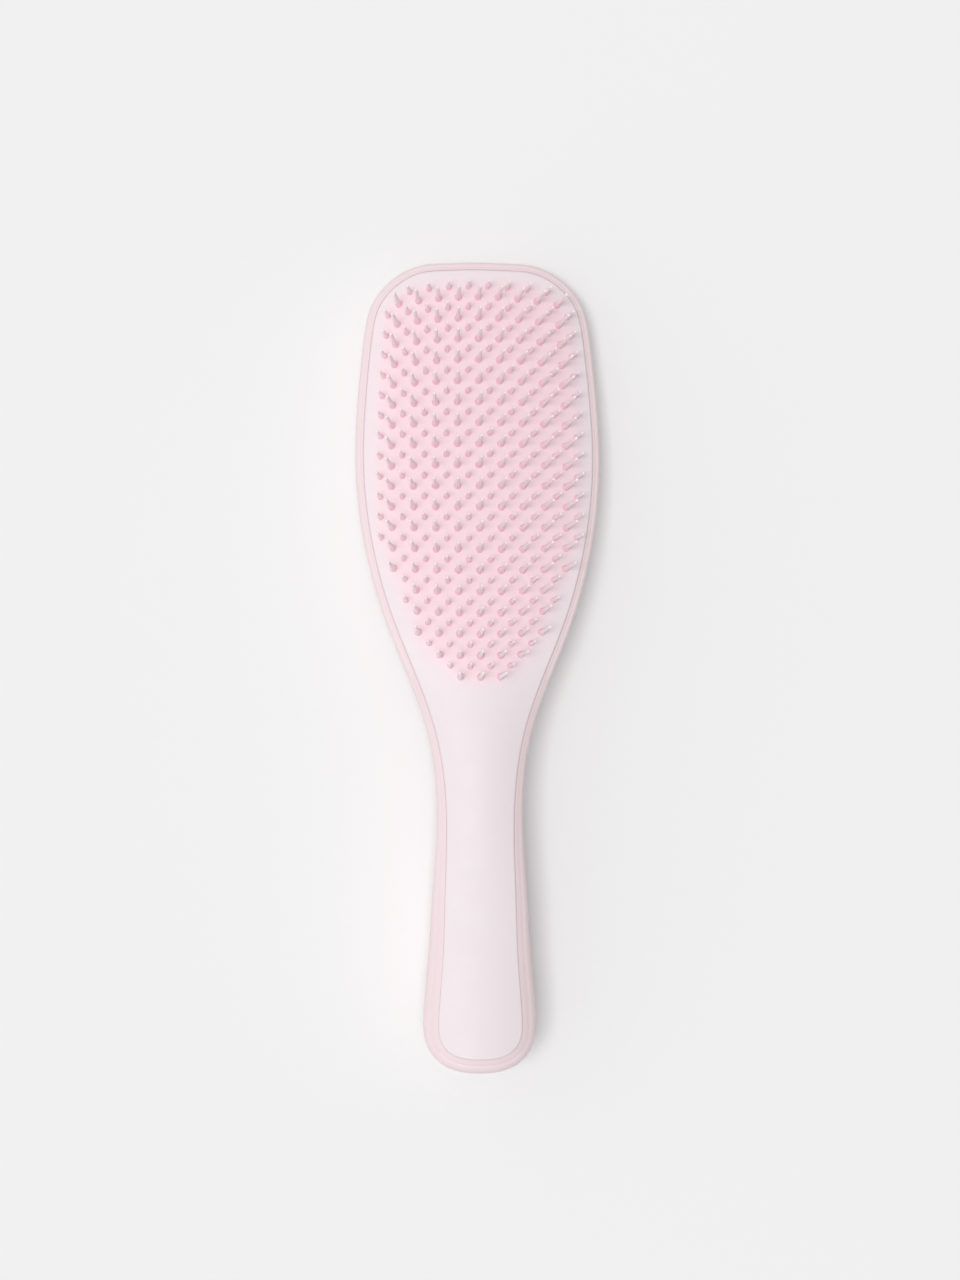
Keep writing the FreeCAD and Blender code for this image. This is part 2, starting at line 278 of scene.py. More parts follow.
class Outline:
    """Right half of the plan outline, sampled evenly from the head tip to the handle end."""

    SPACING: ClassVar[float] = 0.9
    FINE_STEPS: ClassVar[int] = 60

    def __init__(self, form: BrushForm) -> None:
        """Sample the smooth curve through the form's outline points.

        Args:
            form: The brush's sizes.
        """
        points = form.outline_points()
        steps = np.linalg.norm(np.diff(points, axis=0), axis=1)
        slopes = self._slopes(points, steps)
        fine, heading = [points[:1]], [slopes[:1]]
        for index, step in enumerate(steps):
            t = np.linspace(0, 1, self.FINE_STEPS + 1)[1:, None]
            p0, p1 = points[index], points[index + 1]
            m0, m1 = slopes[index] * step, slopes[index + 1] * step
            fine.append((2 * t**3 - 3 * t**2 + 1) * p0 + (t**3 - 2 * t**2 + t) * m0
                        + (3 * t**2 - 2 * t**3) * p1 + (t**3 - t**2) * m1)
            heading.append(((6 * t**2 - 6 * t) * (p0 - p1) + (3 * t**2 - 4 * t + 1) * m0
                            + (3 * t**2 - 2 * t) * m1) / step)
        curve, way = np.concatenate(fine), np.concatenate(heading)
        run = np.concatenate([[0], np.cumsum(np.linalg.norm(np.diff(curve, axis=0), axis=1))])
        even = np.linspace(0, run[-1], round(run[-1] / self.SPACING) + 1)
        self.points = np.stack([np.interp(even, run, curve[:, k]) for k in (0, 1)], axis=1)
        way = np.stack([np.interp(even, run, way[:, k]) for k in (0, 1)], axis=1)
        way /= np.linalg.norm(way, axis=1, keepdims=True)
        self.inward = np.stack([way[:, 1], -way[:, 0]], axis=1)
        self.points[[0, -1], 0] = 0.0
        self.inward[[0, -1], 0] = 0.0

    @staticmethod
    def _slopes(points: np.ndarray, steps: np.ndarray) -> np.ndarray:
        """Slopes of the smooth curve at its points, square to the centre line at both ends.

        Args:
            points: Points that the curve passes.
            steps: Distances between neighbouring points.

        Returns:
            One slope for each point.
        """
        count = len(points)
        matrix, right = np.zeros((count, count)), np.zeros((count, 2))
        matrix[0, 0] = matrix[-1, -1] = 1.0
        right[0], right[-1] = (1.0, 0.0), (-1.0, 0.0)
        chords = np.diff(points, axis=0) / steps[:, None]
        for i in range(1, count - 1):
            matrix[i, i - 1:i + 2] = steps[i], 2 * (steps[i - 1] + steps[i]), steps[i - 1]
            right[i] = 3 * (steps[i] * chords[i - 1] + steps[i - 1] * chords[i])
        return np.linalg.solve(matrix, right)

    @property
    def places(self) -> np.ndarray:
        """Place of each sample along the brush."""
        return self.points[:, 1]

    def inset(self, distance: float | np.ndarray) -> np.ndarray:
        """The half outline moved inwards.

        Args:
            distance: How far, the same everywhere or for each sample.

        Returns:
            Plan points, one for each sample.
        """
        return self.points + self.inward * np.broadcast_to(distance, len(self.points))[:, None]


def make_piece(name: str, points: np.ndarray, faces: Faces) -> bpy.types.Object:
    """Make a smooth mesh object from points in millimetres.

    Args:
        name: Name of the piece.
        points: Points, one row each.
        faces: Point numbers of each face.

    Returns:
        The new object, linked to the scene, with its faces turned outwards.
    """
    mesh = bpy.data.meshes.new(name)
    mesh.from_pydata((points * MM).tolist(), [], [tuple(map(int, face)) for face in faces])
    work = bmesh.new()
    work.from_mesh(mesh)
    bmesh.ops.recalc_face_normals(work, faces=work.faces)
    work.to_mesh(mesh)
    work.free()
    mesh.shade_smooth()
    mesh.set_sharp_from_angle(angle=SHARP_ANGLE)
    piece = bpy.data.objects.new(name, mesh)
    bpy.context.scene.collection.objects.link(piece)
    return piece


def store_values(piece: bpy.types.Object, shading: Shading, values: np.ndarray) -> None:
    """Keep one value for each point of a piece, for its finish to read.

    Args:
        piece: Mesh object.
        shading: Names the attribute.
        values: One value for each point.
    """
    attribute = piece.data.attributes.new(shading.value, "FLOAT", "POINT")
    attribute.data.foreach_set("value", values.astype(np.float32))


def wear(piece: bpy.types.Object, material: bpy.types.Material, node: str) -> None:
    """Dress a piece and set it in the frame.

    Args:
        piece: The modelled piece.
        material: Its finish.
        node: The CAD node that the piece stands for.
    """
    piece.data.materials.append(material)
    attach(piece, BODY)
    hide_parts(node)
    LOG.info("%s stands for %s: %d faces", piece.name, node, len(piece.data.polygons))


class Skin:
    """Closed skin of rings that all follow the outline, ended by two filled caps."""

    DRAWN_IN_SHARE: ClassVar[float] = 0.2

    def __init__(self, samples: int) -> None:
        """Start an empty skin.

        Args:
            samples: How many points the half outline has.
        """
        self.samples = samples
        self.points: list[np.ndarray] = []
        self.faces: Faces = []
        self.total = 0
        self.last: np.ndarray | None = None

    def _put(self, points: np.ndarray) -> np.ndarray:
        """Add points.

        Args:
            points: Points, one row each.

        Returns:
            Their numbers.
        """
        numbers = np.arange(self.total, self.total + len(points))
        self.points.append(points)
        self.total += len(points)
        return numbers

    def ring(self, plan: np.ndarray, height: np.ndarray) -> np.ndarray:
        """Add a ring and bridge it to the one before.

        Args:
            plan: Plan points of the right half.
            height: Height of each of them.

        Returns:
            The ring's point numbers: the right half, then the left half back to the tip.
        """
        right = np.column_stack([plan, height])
        left = right[-2:0:-1] * (-1, 1, 1)
        numbers = self._put(np.concatenate([right, left]))
        if self.last is not None:
            after, before = np.roll(numbers, -1), np.roll(self.last, -1)
            self.faces += list(zip(self.last, before, after, numbers))
        self.last = numbers
        return numbers

    def cap(self, ring: np.ndarray, height: Height, levels: int) -> None:
        """Fill a ring with a grid that draws in to the centre line.

        Args:
            ring: Point numbers from ring().
            height: Surface that the grid lies on.
            levels: Rows of faces from the ring to the centre line.
        """
        count = self.samples
        edge = np.concatenate(self.points)[ring[:count]]
        before = ring[:count], np.concatenate([ring[:1], ring[:count - 2:-1]])
        for level in range(1, levels + 1):
            share = level / levels
            x = edge[:, 0] * (1 - share)
            y = edge[:, 1] * (1 - self.DRAWN_IN_SHARE * share)
            points = np.column_stack([x, y, height(x, y)])
            right = self._put(points)
            left = right.copy()
            if level < levels:
                left[1:-1] = self._put(points[1:-1] * (-1, 1, 1))
            for old, new in zip(before, (right, left)):
                self.faces += list(zip(old[:-1], old[1:], new[1:], new[:-1]))
            before = right, left

    def piece(self, name: str) -> bpy.types.Object:
        """Make the Blender object."""
        return make_piece(name, np.concatenate(self.points), self.faces)


@dataclass(frozen=True)
class Moulding:
    """Finish of one moulded plastic: colours, gloss, fine grain, translucency, painted shade and light.

    Sizes of the noise patches and depths are in millimetres.
    """

    name: str
    colour: Colour
    second_colour: Colour
    shading: Shading
    mottle: float
    roughness: float
    roughness_spread: float
    specular: float
    grain_size: float
    grain_depth: float
    translucency: float
    scatter: Colour = (0.6, 0.5, 0.5)
    scatter_depth: float = 0.8
    mottle_size: float = 35.0
    mottle_octaves: float = 3.0
    mottle_span: Span = (0.3, 0.7)
    gloss_size: float = 4.0
    gloss_octaves: float = 4.0
    gloss_span: Span = (0.25, 0.75)
    grain_octaves: float = 2.0
    grain_strength: float = 0.5

    def material(self) -> bpy.types.Material:
        """Build the finish's node material.

        Returns:
            The material.
        """
        material = bpy.data.materials.new(self.name)
        material.use_nodes = True
        tree = material.node_tree
        shader = tree.nodes["Principled BSDF"]
        place = tree.nodes.new("ShaderNodeTexCoord").outputs["Object"]
        tree.links.new(self._tinted(tree, place), shader.inputs["Base Color"])
        tree.links.new(self._gloss(tree, place), shader.inputs["Roughness"])
        tree.links.new(self._grain(tree, place), shader.inputs["Normal"])
        shader.inputs["Specular IOR Level"].default_value = self.specular
        shader.inputs["Subsurface Weight"].default_value = self.translucency
        shader.inputs["Subsurface Radius"].default_value = self.scatter
        shader.inputs["Subsurface Scale"].default_value = self.scatter_depth * MM
        return material

    def _tinted(self, tree: bpy.types.NodeTree, place: bpy.types.NodeSocket) -> bpy.types.NodeSocket:
        """Blend the two colours by a faint mottle and by the painted shade kept on the mesh.

        Args:
            tree: The material's nodes.
            place: Coordinates.

        Returns:
            The colour's socket.
        """
        mottle = self._noise(tree, place, self.mottle_size, self.mottle_octaves)
        tint = self._range(tree, mottle, self.mottle_span, (0.0, self.mottle))
        if self.shading is not Shading.EVEN:
            reader = tree.nodes.new("ShaderNodeAttribute")
            reader.attribute_name = self.shading.value
            add = tree.nodes.new("ShaderNodeMath")
            add.operation = "ADD"
            add.use_clamp = True
            tree.links.new(tint, add.inputs[0])
            tree.links.new(reader.outputs["Fac"], add.inputs[1])
            tint = add.outputs[0]
        blend = tree.nodes.new("ShaderNodeMix")
        blend.data_type = "RGBA"
        blend.inputs["A"].default_value = (*self.colour, 1.0)
        blend.inputs["B"].default_value = (*self.second_colour, 1.0)
        tree.links.new(tint, blend.inputs["Factor"])
        return blend.outputs["Result"]

    def _gloss(self, tree: bpy.types.NodeTree, place: bpy.types.NodeSocket) -> bpy.types.NodeSocket:
        """Let the roughness vary a little over the surface.

        Args:
            tree: The material's nodes.
            place: Coordinates.

        Returns:
            The roughness socket.
        """
        patches = self._noise(tree, place, self.gloss_size, self.gloss_octaves)
        limits = self.roughness - self.roughness_spread, self.roughness + self.roughness_spread
        return self._range(tree, patches, self.gloss_span, limits)

    def _grain(self, tree: bpy.types.NodeTree, place: bpy.types.NodeSocket) -> bpy.types.NodeSocket:
        """Roughen the surface with the mould's fine grain.

        Args:
            tree: The material's nodes.
            place: Coordinates.

        Returns:
            The normal's socket.
        """
        grain = tree.nodes.new("ShaderNodeBump")
        grain.inputs["Strength"].default_value = self.grain_strength
        grain.inputs["Distance"].default_value = self.grain_depth * MM
        height = self._noise(tree, place, self.grain_size, self.grain_octaves)
        tree.links.new(height, grain.inputs["Height"])
        return grain.outputs["Normal"]

    @staticmethod
    def _noise(tree: bpy.types.NodeTree, place: bpy.types.NodeSocket, size: float,
               octaves: float) -> bpy.types.NodeSocket:
        """Noise whose patches have a size in millimetres.

        Args:
            tree: The material's nodes.
            place: Coordinates.
            size: Size of a patch.
            octaves: How many finer noises are added.

        Returns:
            The noise value's socket.
        """
        noise = tree.nodes.new("ShaderNodeTexNoise")
        noise.inputs["Scale"].default_value = 1 / (size * MM)
        noise.inputs["Detail"].default_value = octaves
        tree.links.new(place, noise.inputs["Vector"])
        return noise.outputs["Fac"]

    @staticmethod
    def _range(tree: bpy.types.NodeTree, value: bpy.types.NodeSocket, span: Span,
               to_span: Span) -> bpy.types.NodeSocket:
        """Map a value from one range to another, clamped.

        Args:
            tree: The material's nodes.
            value: Socket to map.
            span: Ends of the old range.
            to_span: Ends of the new range.

        Returns:
            The mapped value's socket.
        """
        node = tree.nodes.new("ShaderNodeMapRange")
        for name, number in zip(("From Min", "From Max", "To Min", "To Max"), (*span, *to_span)):
            node.inputs[name].default_value = number
        tree.links.new(value, node.inputs["Value"])
        return node.outputs["Result"]


SATIN_SHELL = Moulding(
    name="satin_pink_shell", colour=(0.855, 0.715, 0.743), second_colour=(0.835, 0.69, 0.72),
    shading=Shading.EVEN, mottle=0.5, roughness=0.42, roughness_spread=0.04, specular=0.3,
    grain_size=0.35, grain_depth=0.012, translucency=0.1)
# MATT_PANEL's second colour is a pink painted where teeth crowd and along the panel's edge: painted shade
# and pink bounce from the teeth.
MATT_PANEL = Moulding(
    name="matt_pale_panel", colour=(0.83, 0.758, 0.784), second_colour=(0.86, 0.7, 0.75),
    shading=Shading.PANEL_PAINTED_SHADE, mottle=0.12, roughness=0.5, roughness_spread=0.05, specular=0.4,
    grain_size=0.3, grain_depth=0.015, translucency=0.1)
# SOFT_TOOTH's colour is a deeper pink painted at the roots as shade; its second colour, the paler shaft and
# tip, is painted light.
SOFT_TOOTH = Moulding(
    name="soft_pink_tooth", colour=(0.97, 0.66, 0.74), second_colour=(0.99, 0.85, 0.885),
    shading=Shading.TOOTH_RISE, mottle=0.1, roughness=0.45, roughness_spread=0.05, specular=0.2,
    grain_size=0.25, grain_depth=0.01, translucency=0.4, scatter=(0.5, 0.5, 0.5), scatter_depth=1.0)


@dataclass
class BackShell:
    """The rigid tray: rounded back, drafted side wall, sloping rim, ledge and hollow inside."""

    form: BrushForm
    outline: Outline
    wall: float = 2.0
    ledge_width: float = 1.8
    back_round: float = 5.0
    floor_round: float = 3.0
    head_roll: float = 1.25
    handle_roll: float = 2.3
    head_break: float = 0.06
    handle_break: float = 0.02
    rim_slope: float = math.radians(16.0)
    side_draft: float = math.radians(2.5)
    panel_gap: float = 0.02
    crease_half: float = 0.16
    crease_depth: float = 0.1
    rim_ring_shares: Shares = (0.0, 0.3, 0.7, 1.0)
    wall_ring_shares: Shares = (0.35, 0.7)
    round_steps: int = 10
    floor_round_steps: int = 3
    touch_steps: int = 100
    back_levels: int = 28
    floor_levels: int = 10
    finish: Moulding = SATIN_SHELL

    def build(self) -> bpy.types.Object:
        """Build the shell's mesh, from the hollow's floor over the rim to the back.

        Returns:
            The shell.
        """
        skin = Skin(len(self.outline.points))
        rim = self.form.rim_width(self.outline.places)
        floor = self._hollow(skin, rim)
        back = self._side(skin, self._rim(skin, rim))
        skin.cap(back, self.form.back, self.back_levels)
        skin.cap(floor, self._floor_height, self.floor_levels)
        return skin.piece("shell_moulding")

    def _floor_height(self, x: np.ndarray, y: np.ndarray) -> np.ndarray:
        """Height of the hollow's floor."""
        return self.form.back(x, y) + self.wall

    def _hollow(self, skin: Skin, rim: np.ndarray) -> np.ndarray:
        """Add the rings of the hollow, from its floor up to the ledge.

        Args:
            skin: Skin to add to.
            rim: Rim width at each outline sample.

        Returns:
            The floor's ring.
        """
        wall_line = rim + self.ledge_width
        foot = self.outline.inset(wall_line + self.floor_round)
        low = self._floor_height(*foot.T)
        first = skin.ring(foot, low)
        for turn in np.linspace(0, math.pi / 2, self.floor_round_steps + 1)[1:]:
            plan = self.outline.inset(wall_line + self.floor_round * (1 - math.sin(turn)))
            skin.ring(plan, low + self.floor_round * (1 - math.cos(turn)))
        top = self.outline.inset(wall_line)
        skin.ring(top, self.form.seat(*top.T))
        return first

    def _rim(self, skin: Skin, rim: np.ndarray) -> np.ndarray:
        """Add the rings of the panel's recess, the sloping rim, its crease and its rolled edge.

        Args:
            skin: Skin to add to.
            rim: Rim width at each outline sample.

        Returns:
            Height of the side wall's top at each outline sample.
        """
        form, outline = self.form, self.outline
        edge_break = form.along(outline.places, self.head_break, self.handle_break)
        roll = form.along(outline.places, self.head_roll, self.handle_roll)
        recess = outline.inset(rim - self.panel_gap)
        for drop in (form.seat_drop, edge_break):
            skin.ring(recess, form.face(*recess.T, drop))
        broken = rim - self.panel_gap - edge_break
        shoulder = roll + self.crease_half
        fall = math.tan(self.rim_slope)
        for share in self.rim_ring_shares:
            reach = (broken - shoulder) * share
            plan = outline.inset(broken - reach)
            skin.ring(plan, form.face(*plan.T, fall * reach))
        low = fall * (broken - roll)
        plan = outline.inset(roll)
        skin.ring(plan, form.face(*plan.T, low + self.crease_depth))
        start = self.rim_slope + np.arcsin(self.crease_half / roll)
        sink = low + roll * (math.cos(self.rim_slope) - 1)
        for share in np.linspace(0, 1, self.round_steps + 1):
            turn = start + (math.pi / 2 - start) * share
            plan = outline.inset(roll * (1 - np.sin(turn)))
            skin.ring(plan, form.face(*plan.T, sink) - roll * (1 - np.cos(turn)))
        return form.face(*outline.points.T, sink) - roll

    def _side(self, skin: Skin, top: np.ndarray) -> np.ndarray:
        """Add the rings of the side wall and of the rounding that leads it into the back.

        The rounding is the path of a ball that rolls inside the wall until it rests on the back.

        Args:
            skin: Skin to add to.
            top: Height of the wall's top at each outline sample.

        Returns:
            The ring where the rounding meets the back.
        """
        size, outline = self.back_round, self.outline
        reach = np.linspace(0, size, self.touch_steps + 1)
        drawn = math.tan(self.side_draft) * np.maximum(top - size, 0)
        floor = np.stack([self.form.back(*outline.inset(drawn + distance).T) for distance in reach])
        rest = floor + np.sqrt(np.maximum(size ** 2 - (reach - size) ** 2, 0))[:, None]
        centre, touch = rest.max(axis=0), reach[rest.argmax(axis=0)]
        for share in self.wall_ring_shares:
            skin.ring(outline.inset(drawn * share), top + (centre - top) * share)
        end = np.arccos(np.clip((size - touch) / size, -1, 1))
        for share in np.linspace(0, 1, self.round_steps + 1):
            turn = end * share
            plan = outline.inset(drawn + size * (1 - np.cos(turn)))
            skin.ring(plan, centre - size * np.sin(turn))
        return skin.last

    def dress(self, piece: bpy.types.Object) -> None:
        """Give the shell its finish and its place in the frame."""
        wear(piece, self.finish.material(), "back_shell")


@dataclass
class FacePanel:
    """The flexible panel that closes the tray, with a rounded edge along the parting line."""

    form: BrushForm
    outline: Outline
    head_edge: float = 0.55
    handle_edge: float = 0.35
    edge_support_share: float = 0.5
    edge_steps: int = 7
    # Share of painted shade on the panel's side and rounded edge, for the pink shade in the parting groove.
    edge_painted_shade: float = 0.6
    # ground_spread, crowded_share, ground_from and ground_over shape the painted shade among the teeth.
    ground_spread: float = 4.0
    crowded_share: float = 0.95
    ground_from: float = 0.2
    ground_over: float = 0.65
    top_levels: int = 40
    under_levels: int = 10
    finish: Moulding = MATT_PANEL

    def build(self, feet: np.ndarray) -> bpy.types.Object:
        """Build the panel's mesh, with painted shade among the teeth and along its edge.

        Args:
            feet: Plan places of all teeth.

        Returns:
            The panel.
        """
        form, outline = self.form, self.outline
        rim = form.rim_width(outline.places)
        rounding = form.along(outline.places, self.head_edge, self.handle_edge)
        skin = Skin(len(outline.points))
        edge = outline.inset(rim)
        under = skin.ring(edge, form.seat(*edge.T))
        skin.ring(edge, form.panel_top(*edge.T) - rounding * (1 + self.edge_support_share))
        for turn in np.linspace(0, math.pi / 2, self.edge_steps + 1):
            plan = outline.inset(rim + rounding * (1 - math.cos(turn)))
            skin.ring(plan, form.panel_top(*plan.T) - rounding * (1 - math.sin(turn)))
        upper = skin.last
        skin.cap(upper, form.panel_top, self.top_levels)
        skin.cap(under, form.seat, self.under_levels)
        piece = skin.piece("panel_moulding")
        # Painted shade: the panel turns pinker where teeth crowd round, standing for the shade and pink
        # bounce among them.
        tint = self._painted_shade_among_teeth(np.concatenate(skin.points)[:, :2], feet)
        # Painted shade along the parting groove: the panel's side and rounded edge take the pinker colour.
        tint[:upper[0]] = self.edge_painted_shade
        store_values(piece, self.finish.shading, tint)
        return piece

    def _painted_shade_among_teeth(self, places: np.ndarray, feet: np.ndarray) -> np.ndarray:
        """How much painted shade each place gets: pinker where teeth crowd, for the shade and bounce among
        them.

        Args:
            places: Plan places of the panel's points.
            feet: Plan places of all teeth.

        Returns:
            A share for each place, 1 where teeth stand all round.
        """
        crowding = np.zeros(len(places))
        for foot in feet:
            away = ((places - foot) ** 2).sum(axis=1)
            crowding += np.exp(-away / (2 * self.ground_spread ** 2))
        crowding /= np.quantile(crowding, self.crowded_share)
        return smooth_step((crowding - self.ground_from) / self.ground_over)

    def dress(self, piece: bpy.types.Object) -> None:
        """Give the panel its finish and its place in the frame."""
        wear(piece, self.finish.material(), "tooth_panel")


@dataclass(frozen=True)
class ToothShape:
    """One tooth: a slim cone with a flared root and a round tip."""

    FLARE_RING_SHARES: ClassVar[Shares] = (0.0, 0.06, 0.14, 0.25, 0.4, 0.6, 0.8, 1.0)
    SHAFT_RING_SHARES: ClassVar[Shares] = (0.33, 0.67, 1.0)
    TIP_RING_SHARES: ClassVar[Shares] = (0.25, 0.5, 0.75, 0.92)

    length: float
    root_radius: float
    tip_radius: float
    flare: float
    flare_height: float
    sunk: float = 0.2
    sides: int = 16

    def profile(self) -> np.ndarray:
        """Rings of the tooth, from its sunk root to just below its tip's pole.

        Returns:
            The height and the radius of each ring.
        """
        centre = self.length - self.tip_radius
        reach = math.hypot(self.root_radius, centre)
        taper = math.acos(self.tip_radius / reach) - math.atan2(centre, self.root_radius)
        top = centre + self.tip_radius * math.sin(taper)
        shoulder = self.tip_radius * math.cos(taper)
        shaft = top - self.flare_height
        heights = [-self.sunk]
        heights += [self.flare_height * share for share in self.FLARE_RING_SHARES]
        heights += [self.flare_height + shaft * share for share in self.SHAFT_RING_SHARES]
        rows = []
        for height in heights:
            cone = self.root_radius + (shoulder - self.root_radius) * height / top
            spread = self.flare * max(0.0, 1 - max(height, 0.0) / self.flare_height) ** 2
            rows.append((height, cone + spread))
        for share in self.TIP_RING_SHARES:
            turn = taper + (math.pi / 2 - taper) * share
            rows.append((centre + self.tip_radius * math.sin(turn), self.tip_radius * math.cos(turn)))
        return np.array(rows)

    def faces(self, start: int, rings: int) -> Faces:
        """Faces of one tooth, whose points are its rings, its tip's pole and its root's middle.

        Args:
            start: Number of the tooth's first point.
            rings: How many rings it has.

        Returns:
            Point numbers of each face.
        """
        sides, pole = self.sides, start + rings * self.sides
        root, last = pole + 1, pole - self.sides
        faces = []
        for side in range(sides):
            after = (side + 1) % sides
            faces.append((root, start + after, start + side))
            faces.append((last + side, last + after, pole))
            for low in range(start, last, sides):
                high = low + sides
                faces.append((low + side, low + after, high + after, high + side))
        return faces


@dataclass(frozen=True)
class ToothRow:
    """One row of teeth: its tier, its number from the head tip, and the plan places of its feet."""

    tier: Tier
    number: int
    places: np.ndarray

    @property
    def node(self) -> str:
        """Name of the CAD node that the row stands for."""
        return f"{self.tier.value}_{self.number:02d}"

    @property
    def name(self) -> str:
        """Name of the row's piece."""
        return f"{self.tier.name.lower()}_teeth_{self.number:02d}"


@dataclass
class ToothField:
    """All the teeth, in bowed rows of two lengths that stand staggered on the panel."""

    SLOPE_STEP: ClassVar[float] = 0.01

    form: BrushForm
    long_shape: ToothShape = ToothShape(
        length=14.0, root_radius=0.62, tip_radius=0.38, flare=0.42, flare_height=4.0)
    short_shape: ToothShape = ToothShape(
        length=8.0, root_radius=0.54, tip_radius=0.34, flare=0.32, flare_height=2.6)
    long_counts: tuple[int, ...] = (9,) * 14 + (7, 7, 7, 5, 3)
    short_counts: tuple[int, ...] = (8,) + (10,) * 12 + (8, 8, 8, 6, 6, 4)
    first_row_from_tip: float = 6.9
    row_step: float = 2.93
    tooth_pitch: float = 6.05
    pitch_fall_share: float = 0.105
    level_row_from_tip: float = 70.0
    row_bow_share: float = 0.0021
    # Height share at which the painted root shade has given way to the paler painted light of the shaft.
    pale_from_share: float = 0.4
    finish: Moulding = SOFT_TOOTH
    rows: list[ToothRow] = field(init=False, default_factory=list)

    def __post_init__(self) -> None:
        """Lay out the plan places of every row: short teeth first, long teeth one step on."""
        first = self.form.tip_y - self.first_row_from_tip
        half = self.row_step * (len(self.long_counts) + len(self.short_counts) - 1) / 2
        level = self.form.tip_y - self.level_row_from_tip
        for tier, counts, start in ((Tier.SHORT, self.short_counts, 0), (Tier.LONG, self.long_counts, 1)):
            for index, count in enumerate(counts):
                y = first - (2 * index + start) * self.row_step
                pitch = self.tooth_pitch * (1 - self.pitch_fall_share * ((y - first + half) / half) ** 2)
                column = np.arange(count) - (count - 1) / 2
                bowed = y - self.row_bow_share * (y - level) * column ** 2
                self.rows.append(ToothRow(tier, index + 1, np.column_stack([column * pitch, bowed])))

    def feet(self) -> np.ndarray:
        """Plan places of all teeth."""
        return np.concatenate([row.places for row in self.rows])

    def build(self) -> list[tuple[bpy.types.Object, ToothRow]]:
        """Build one piece for each row.

        Returns:
            Each row's object with the row.
        """
        shapes = {Tier.LONG: self.long_shape, Tier.SHORT: self.short_shape}
        return [(self._piece(row, shapes[row.tier]), row) for row in self.rows]

    def _piece(self, row: ToothRow, shape: ToothShape) -> bpy.types.Object:
        """Build one row of teeth, each square to the panel under it.

        Args:
            row: The row.
            shape: Shape of its teeth.

        Returns:
            The row's object.
        """
        profile = shape.profile()
        turns = np.arange(shape.sides) * 2 * math.pi / shape.sides
        circle = np.column_stack([np.cos(turns), np.sin(turns)])
        points, faces, rise = [], [], []
        for x, y in row.places:
            foot, axis, across, along = self._stand(x, y)
            faces += shape.faces(len(points), len(profile))
            for height, radius in profile:
                ring = circle[:, :1] * across + circle[:, 1:] * along
                points += list(foot + axis * height + radius * ring)
                rise += [max(0.0, height / shape.length)] * shape.sides
            points += [foot + axis * shape.length, foot - axis * shape.sunk]
            rise += [1.0, 0.0]
        piece = make_piece(row.name, np.array(points), faces)
        # Painted shade at the root, fading to a paler painted light up the tooth.
        store_values(piece, self.finish.shading, smooth_step(np.array(rise) / self.pale_from_share))
        return piece

    def _top(self, x: float, y: float) -> float:
        """Height of the panel at one place."""
        return float(self.form.panel_top(np.array(x), np.array(y)))

    def _stand(self, x: float, y: float) -> tuple[np.ndarray, np.ndarray, np.ndarray, np.ndarray]:
        """Where and how a tooth stands.

        Args:
            x: Place of its foot across the brush.
            y: Place of its foot along the brush.

        Returns:
            The foot on the panel, the tooth's axis, and two directions square to the axis.
        """
        step = self.SLOPE_STEP
        slope_x = (self._top(x + step, y) - self._top(x - step, y)) / (2 * step)
        slope_y = (self._top(x, y + step) - self._top(x, y - step)) / (2 * step)
        axis = np.array([-slope_x, -slope_y, 1.0])
        axis /= np.linalg.norm(axis)
        across = np.cross((0.0, 1.0, 0.0), axis)
        across /= np.linalg.norm(across)
        return np.array([x, y, self._top(x, y)]), axis, across, np.cross(axis, across)

    def dress(self, pieces: list[tuple[bpy.types.Object, ToothRow]]) -> None:
        """Give every row the same finish and its own place in the frame.

        Args:
            pieces: Each row's object with the row.
        """
        material = self.finish.material()
        for piece, row in pieces:
            wear(piece, material, row.node)


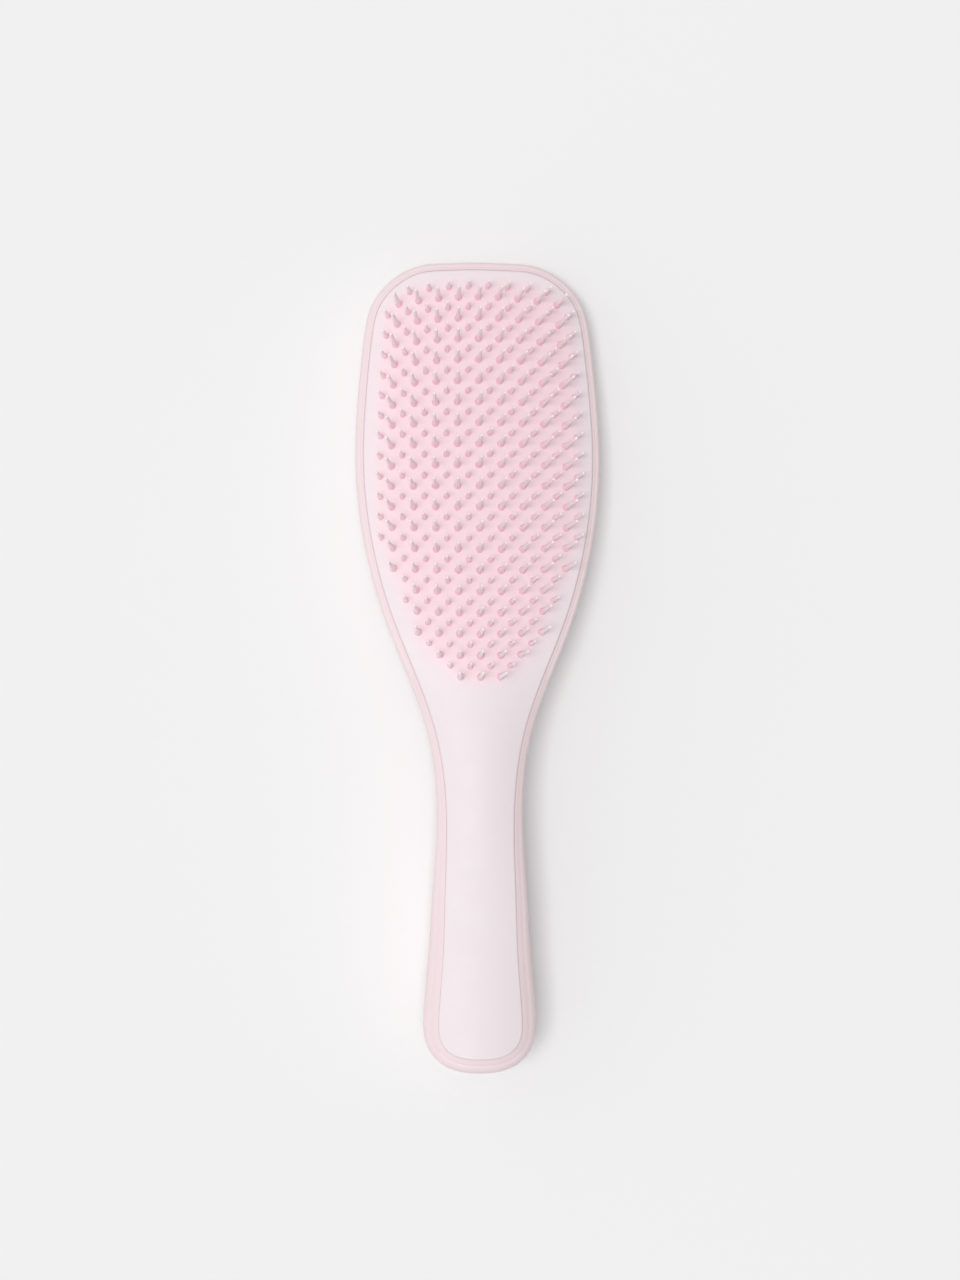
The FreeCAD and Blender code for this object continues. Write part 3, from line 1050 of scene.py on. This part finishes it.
@dataclass
class Studio:
    """Pale floor and backdrop, a soft lamp high on the left, a fill brighter on the left, a camera.

    The floor and the lamp are measured in metres, what the camera sees in millimetres and in pixels
    of the photograph. One pixel spans pixel_size at the height named level.
    """

    SEEN_RAYS: ClassVar[tuple[str, ...]] = ("Is Glossy Ray", "Is Transmission Ray")

    floor_size: float = 6.0
    floor_drop: float = 5e-5
    floor_colour: Colour = (0.885, 0.885, 0.885)
    floor_roughness: float = 0.9
    backdrop: float = 0.88
    fill_strength: float = 0.505
    fill_lean: float = 0.45
    key_place: Place = (-1.2, -0.1, 6.9)
    key_aim: Place = (0.0, 0.0, 0.0)
    key_width: float = 2.85
    key_depth: float = 1.8
    key_power: float = 247.0
    image_width: int = 960
    image_height: int = 1280
    pixel_size: float = 0.2765
    middle_pixel: tuple[float, float] = (478.8, 664.9)
    level: float = 17.0
    distance: float = 830.0
    beside: float = 52.0
    sensor: float = 36.0
    nearest: float = 10.0

    def build(self) -> None:
        """Set up the floor, the lights and the camera."""
        self._floor()
        self._fill()
        self._key()
        self._camera()
        bpy.context.scene.view_settings.view_transform = "Standard"

    def _floor(self) -> None:
        """Lay the floor just under the resting plane."""
        mesh = bpy.data.meshes.new("floor")
        half = self.floor_size / 2
        plan = ((-half, -half), (half, -half), (half, half), (-half, half))
        mesh.from_pydata([(x, y, -self.floor_drop) for x, y in plan], [], [(0, 1, 2, 3)])
        floor = bpy.data.objects.new("floor", mesh)
        bpy.context.scene.collection.objects.link(floor)
        material = bpy.data.materials.new("pale_floor")
        material.use_nodes = True
        shader = material.node_tree.nodes["Principled BSDF"]
        shader.inputs["Base Color"].default_value = (*self.floor_colour, 1.0)
        shader.inputs["Roughness"].default_value = self.floor_roughness
        shader.inputs["Specular IOR Level"].default_value = 0.0
        mesh.materials.append(material)

    def _fill(self) -> None:
        """Set the fill, brighter on the left, with the plain backdrop wherever it is seen."""
        world = bpy.data.worlds.new("left_bright_fill")
        bpy.context.scene.world = world
        world.use_nodes = True
        tree = world.node_tree
        background = tree.nodes["Background"]
        background.inputs["Color"].default_value = (1.0, 1.0, 1.0, 1.0)
        way = tree.nodes.new("ShaderNodeSeparateXYZ")
        tree.links.new(tree.nodes.new("ShaderNodeTexCoord").outputs["Generated"], way.inputs["Vector"])
        lean = tree.nodes.new("ShaderNodeMath")
        lean.operation = "MULTIPLY_ADD"
        lean.inputs[1].default_value = -self.fill_strength * self.fill_lean
        lean.inputs[2].default_value = self.fill_strength
        tree.links.new(way.outputs["X"], lean.inputs[0])
        strength = tree.nodes.new("ShaderNodeMix")
        strength.inputs["B"].default_value = self.backdrop
        tree.links.new(self._seen(tree), strength.inputs["Factor"])
        tree.links.new(lean.outputs[0], strength.inputs["A"])
        tree.links.new(strength.outputs["Result"], background.inputs["Strength"])

    def _seen(self, tree: bpy.types.NodeTree) -> bpy.types.NodeSocket:
        """Tell the rays that show the backdrop from those that only carry light.

        Args:
            tree: The world's nodes.

        Returns:
            A socket that is 1 for a ray that shows the backdrop.
        """
        rays = tree.nodes.new("ShaderNodeLightPath")
        seen = rays.outputs["Is Camera Ray"]
        for kind in self.SEEN_RAYS:
            either = tree.nodes.new("ShaderNodeMath")
            either.operation = "MAXIMUM"
            tree.links.new(seen, either.inputs[0])
            tree.links.new(rays.outputs[kind], either.inputs[1])
            seen = either.outputs[0]
        return seen

    def _key(self) -> None:
        """Hang the soft lamp and aim it at the brush."""
        lamp = bpy.data.lights.new("soft_key", "AREA")
        lamp.shape = "RECTANGLE"
        lamp.size = self.key_width
        lamp.size_y = self.key_depth
        lamp.energy = self.key_power
        light = bpy.data.objects.new("soft_key", lamp)
        bpy.context.scene.collection.objects.link(light)
        beam = np.array(self.key_aim) - np.array(self.key_place)
        beam /= np.linalg.norm(beam)
        light.location = self.key_place
        light.rotation_euler = (math.asin(beam[1]), math.atan2(-beam[0], -beam[2]), 0.0)

    def _camera(self) -> None:
        """Look down from a little to the left, as the photograph does."""
        lens = bpy.data.cameras.new("camera")
        lens.sensor_fit = "VERTICAL"
        lens.sensor_height = self.sensor
        reach = math.hypot(self.beside, self.distance)
        lens.lens = self.sensor * reach / (self.image_height * self.pixel_size)
        lens.clip_start = self.nearest * MM
        camera = bpy.data.objects.new("camera", lens)
        bpy.context.scene.collection.objects.link(camera)
        across = (self.image_width / 2 - self.middle_pixel[0]) * self.pixel_size
        along = (self.middle_pixel[1] - self.image_height / 2) * self.pixel_size
        camera.location = ((across - self.beside) * MM, along * MM, (self.level + self.distance) * MM)
        camera.rotation_euler = (0.0, -math.atan2(self.beside, self.distance), 0.0)
        bpy.context.scene.camera = camera


def main() -> None:
    """Build the brush piece by piece, then the studio round it."""
    logging.basicConfig(level=logging.INFO, format="%(name)s: %(message)s")
    LOG.info("the frame has %d nodes", len(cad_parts))
    form = BrushForm()
    outline = Outline(form)
    shell = BackShell(form, outline)
    panel = FacePanel(form, outline)
    teeth = ToothField(form)
    shell.dress(shell.build())
    panel.dress(panel.build(teeth.feet()))
    teeth.dress(teeth.build())
    Studio().build()


if __name__ == "__main__":
    main()
